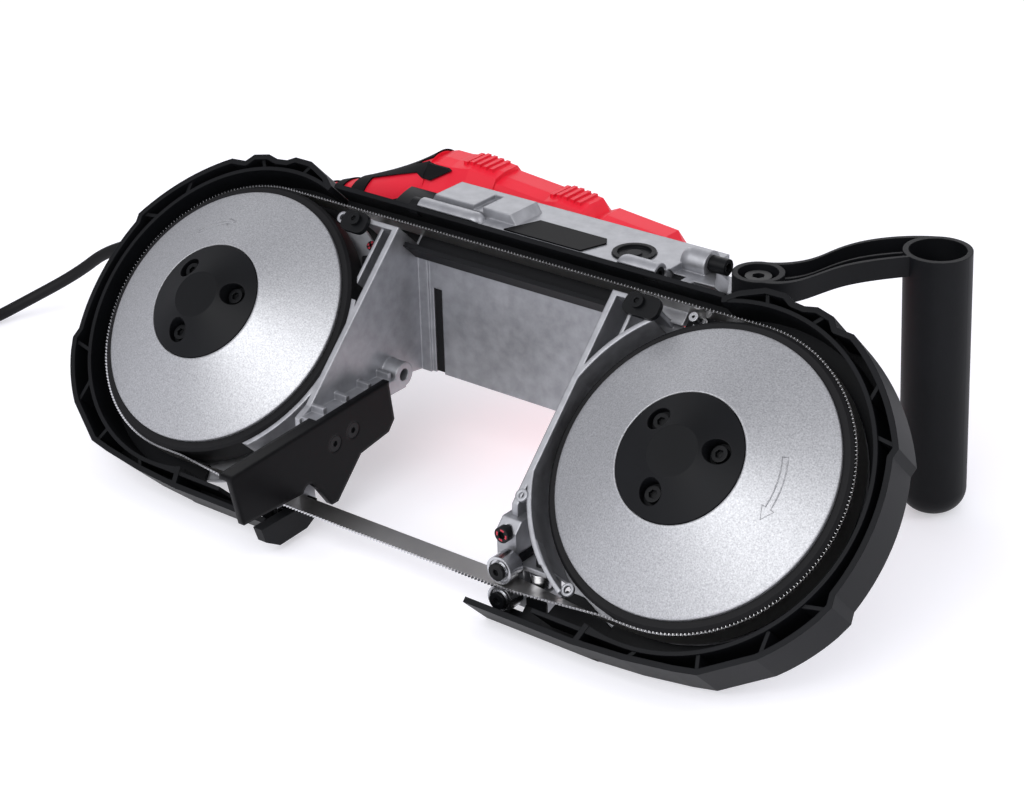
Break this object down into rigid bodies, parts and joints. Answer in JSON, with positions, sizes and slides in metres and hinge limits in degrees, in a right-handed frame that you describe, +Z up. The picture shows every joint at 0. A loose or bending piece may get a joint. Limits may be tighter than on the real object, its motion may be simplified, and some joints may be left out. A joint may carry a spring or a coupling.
{
  "type": "portable band saw",
  "caption": "Corded portable deep-cut band saw lying open-side up: two covered wheels in black guards, twisted blade across a throat, red motor housing, rear handle and front grip.",
  "frame": {"origin": "middle of the saw's footprint without its cord, on the surface it lies on", "axes": "+X along the saw from the rear handle to the front grip, +Y to the motor side, +Z up"},
  "size_m": [0.8031, 0.2978, 0.1584],
  "materials": {
    "cast_aluminium": "satin",
    "silver_paint": "sparkle satin",
    "black_plastic": "fine moulded texture",
    "red_plastic": "satin",
    "black_grip": "matt",
    "black_rubber": "matt",
    "black_steel": "satin",
    "blade_steel": "brushed",
    "machined_steel": "turned",
    "gear_bronze": "machined",
    "label_film": "gloss",
    "plug_brass": "polished"
  },
  "bodies": {
    "saw_body": {"blade": "blade_steel", "blade_tabs": "black_steel", "case_cover": "cast_aluminium", "cord_coil": "black_rubber", "cord_tie": "black_plastic", "cover_plug": "black_plastic", "frame_screws": "black_steel", "front_guard": "black_plastic", "front_guide_bracket": "cast_aluminium", "front_handle": "black_plastic", "gearbox_cap": "cast_aluminium", "gearbox_housing": "black_steel", "guide_pins": "machined_steel", "handle_back_half": "red_plastic", "handle_front_half": "red_plastic", "handle_pads": "black_grip", "label_plate": "label_film", "main_frame": "cast_aluminium", "motor_end_cap": "red_plastic", "motor_housing": "red_plastic", "motor_stator": "machined_steel", "plug_body": "black_rubber", "plug_pins": "plug_brass", "power_cord": "black_rubber", "rear_guard": "black_plastic", "rear_guide_bracket": "cast_aluminium", "shaft_bearings": "machined_steel", "strain_relief": "black_rubber", "upper_channel": "black_plastic", "work_stop": "black_steel"},
    "drive_wheel": {"drive_wheel": "cast_aluminium", "drive_tyre": "black_rubber", "drive_cover": "silver_paint", "drive_hub_cap": "black_plastic", "drive_cap_screws": "black_steel", "drive_shaft": "machined_steel", "worm_wheel": "gear_bronze"},
    "worm_shaft": {"worm_shaft": "machined_steel", "spur_gear": "machined_steel"},
    "motor_rotor": {"motor_armature": "machined_steel", "cooling_fan": "black_plastic", "motor_pinion": "machined_steel"},
    "tension_carriage": {"tension_carriage": "machined_steel", "idler_axle": "machined_steel"},
    "idler_wheel": {"idler_wheel": "cast_aluminium", "idler_tyre": "black_rubber", "idler_cover": "silver_paint", "idler_hub_cap": "black_plastic", "idler_cap_screws": "black_steel", "idler_bearings": "machined_steel"},
    "tension_lever": {"tension_lever": "black_steel"},
    "trigger": {"trigger": "black_plastic"},
    "lock_button": {"lock_button": "black_plastic"},
    "speed_dial": {"speed_dial": "black_plastic"},
    "rear_upper_roller": {"rear_upper_roller": "machined_steel"},
    "rear_lower_roller": {"rear_lower_roller": "machined_steel"},
    "rear_backup_roller": {"rear_backup_roller": "machined_steel"},
    "front_upper_roller": {"front_upper_roller": "machined_steel"},
    "front_lower_roller": {"front_lower_roller": "machined_steel"},
    "front_backup_roller": {"front_backup_roller": "machined_steel"}
  },
  "joints": [
    {"name": "drive_wheel_spin", "type": "hinge", "parent": "saw_body", "child": "drive_wheel", "pos_m": [-0.14251, -0.04895, 0.08909], "axis": [0, -0.7071, 0.7071], "continuous": true},
    {"name": "worm_spin", "type": "hinge", "parent": "saw_body", "child": "worm_shaft", "pos_m": [-0.14251, 0.02742, 0.06788], "axis": [1, 0, 0], "continuous": true},
    {"name": "motor_spin", "type": "hinge", "parent": "saw_body", "child": "motor_rotor", "pos_m": [-0.01451, 0.06837, 0.09478], "axis": [1, 0, 0], "continuous": true},
    {"name": "tension_slide", "type": "slide", "parent": "saw_body", "child": "tension_carriage", "axis": [-1, 0, 0], "range_m": [0, 0.003]},
    {"name": "idler_spin", "type": "hinge", "parent": "tension_carriage", "child": "idler_wheel", "pos_m": [0.17349, -0.04895, 0.08909], "axis": [0, -0.7071, 0.7071], "continuous": true},
    {"name": "tension_lever_turn", "type": "hinge", "parent": "saw_body", "child": "tension_lever", "pos_m": [0.12838, -0.02208, 0.06223], "axis": [0, -0.7071, 0.7071], "range_deg": [0, 170]},
    {"name": "rear_upper_roller_spin", "type": "hinge", "parent": "saw_body", "child": "rear_upper_roller", "pos_m": [-0.06351, -0.09838, 0.03231], "axis": [0, 1, 0], "continuous": true},
    {"name": "rear_lower_roller_spin", "type": "hinge", "parent": "saw_body", "child": "rear_lower_roller", "pos_m": [-0.06351, -0.09838, 0.01591], "axis": [0, 1, 0], "continuous": true},
    {"name": "rear_backup_roller_spin", "type": "hinge", "parent": "saw_body", "child": "rear_backup_roller", "pos_m": [-0.07601, -0.08518, 0.02411], "axis": [0, 0, 1], "continuous": true},
    {"name": "front_upper_roller_spin", "type": "hinge", "parent": "saw_body", "child": "front_upper_roller", "pos_m": [0.09449, -0.09838, 0.03231], "axis": [0, 1, 0], "continuous": true},
    {"name": "front_lower_roller_spin", "type": "hinge", "parent": "saw_body", "child": "front_lower_roller", "pos_m": [0.09449, -0.09838, 0.01591], "axis": [0, 1, 0], "continuous": true},
    {"name": "front_backup_roller_spin", "type": "hinge", "parent": "saw_body", "child": "front_backup_roller", "pos_m": [0.10699, -0.08518, 0.02411], "axis": [0, 0, 1], "continuous": true},
    {"name": "trigger_pull", "type": "hinge", "parent": "saw_body", "child": "trigger", "pos_m": [-0.16051, 0.07633, 0.08342], "axis": [0, 1, 0], "range_deg": [0, 8], "stiffness_Nm_per_rad": 0.6, "springref_deg": -2.86},
    {"name": "lock_button_press", "type": "slide", "parent": "saw_body", "child": "lock_button", "axis": [0, 1, 0], "range_m": [0, 0.003], "stiffness_N_per_m": 300, "springref_m": -0.001},
    {"name": "speed_dial_turn", "type": "hinge", "parent": "saw_body", "child": "speed_dial", "pos_m": [-0.21651, 0.06865, 0.09978], "axis": [0, 1, 0], "range_deg": [-150, 150]}
  ],
  "couplings": [
    {"joint": "worm_spin", "follows": "drive_wheel_spin", "ratio": 40},
    {"joint": "motor_spin", "follows": "drive_wheel_spin", "ratio": -100},
    {"joint": "idler_spin", "follows": "drive_wheel_spin", "ratio": 1},
    {"joint": "tension_lever_turn", "follows": "tension_slide", "rad_per_m": 988.92},
    {"joint": "rear_upper_roller_spin", "follows": "drive_wheel_spin", "ratio": -10.787},
    {"joint": "rear_lower_roller_spin", "follows": "drive_wheel_spin", "ratio": 10.787},
    {"joint": "rear_backup_roller_spin", "follows": "drive_wheel_spin", "ratio": 13.483},
    {"joint": "front_upper_roller_spin", "follows": "drive_wheel_spin", "ratio": -10.787},
    {"joint": "front_lower_roller_spin", "follows": "drive_wheel_spin", "ratio": 10.787},
    {"joint": "front_backup_roller_spin", "follows": "drive_wheel_spin", "ratio": 13.483}
  ]
}
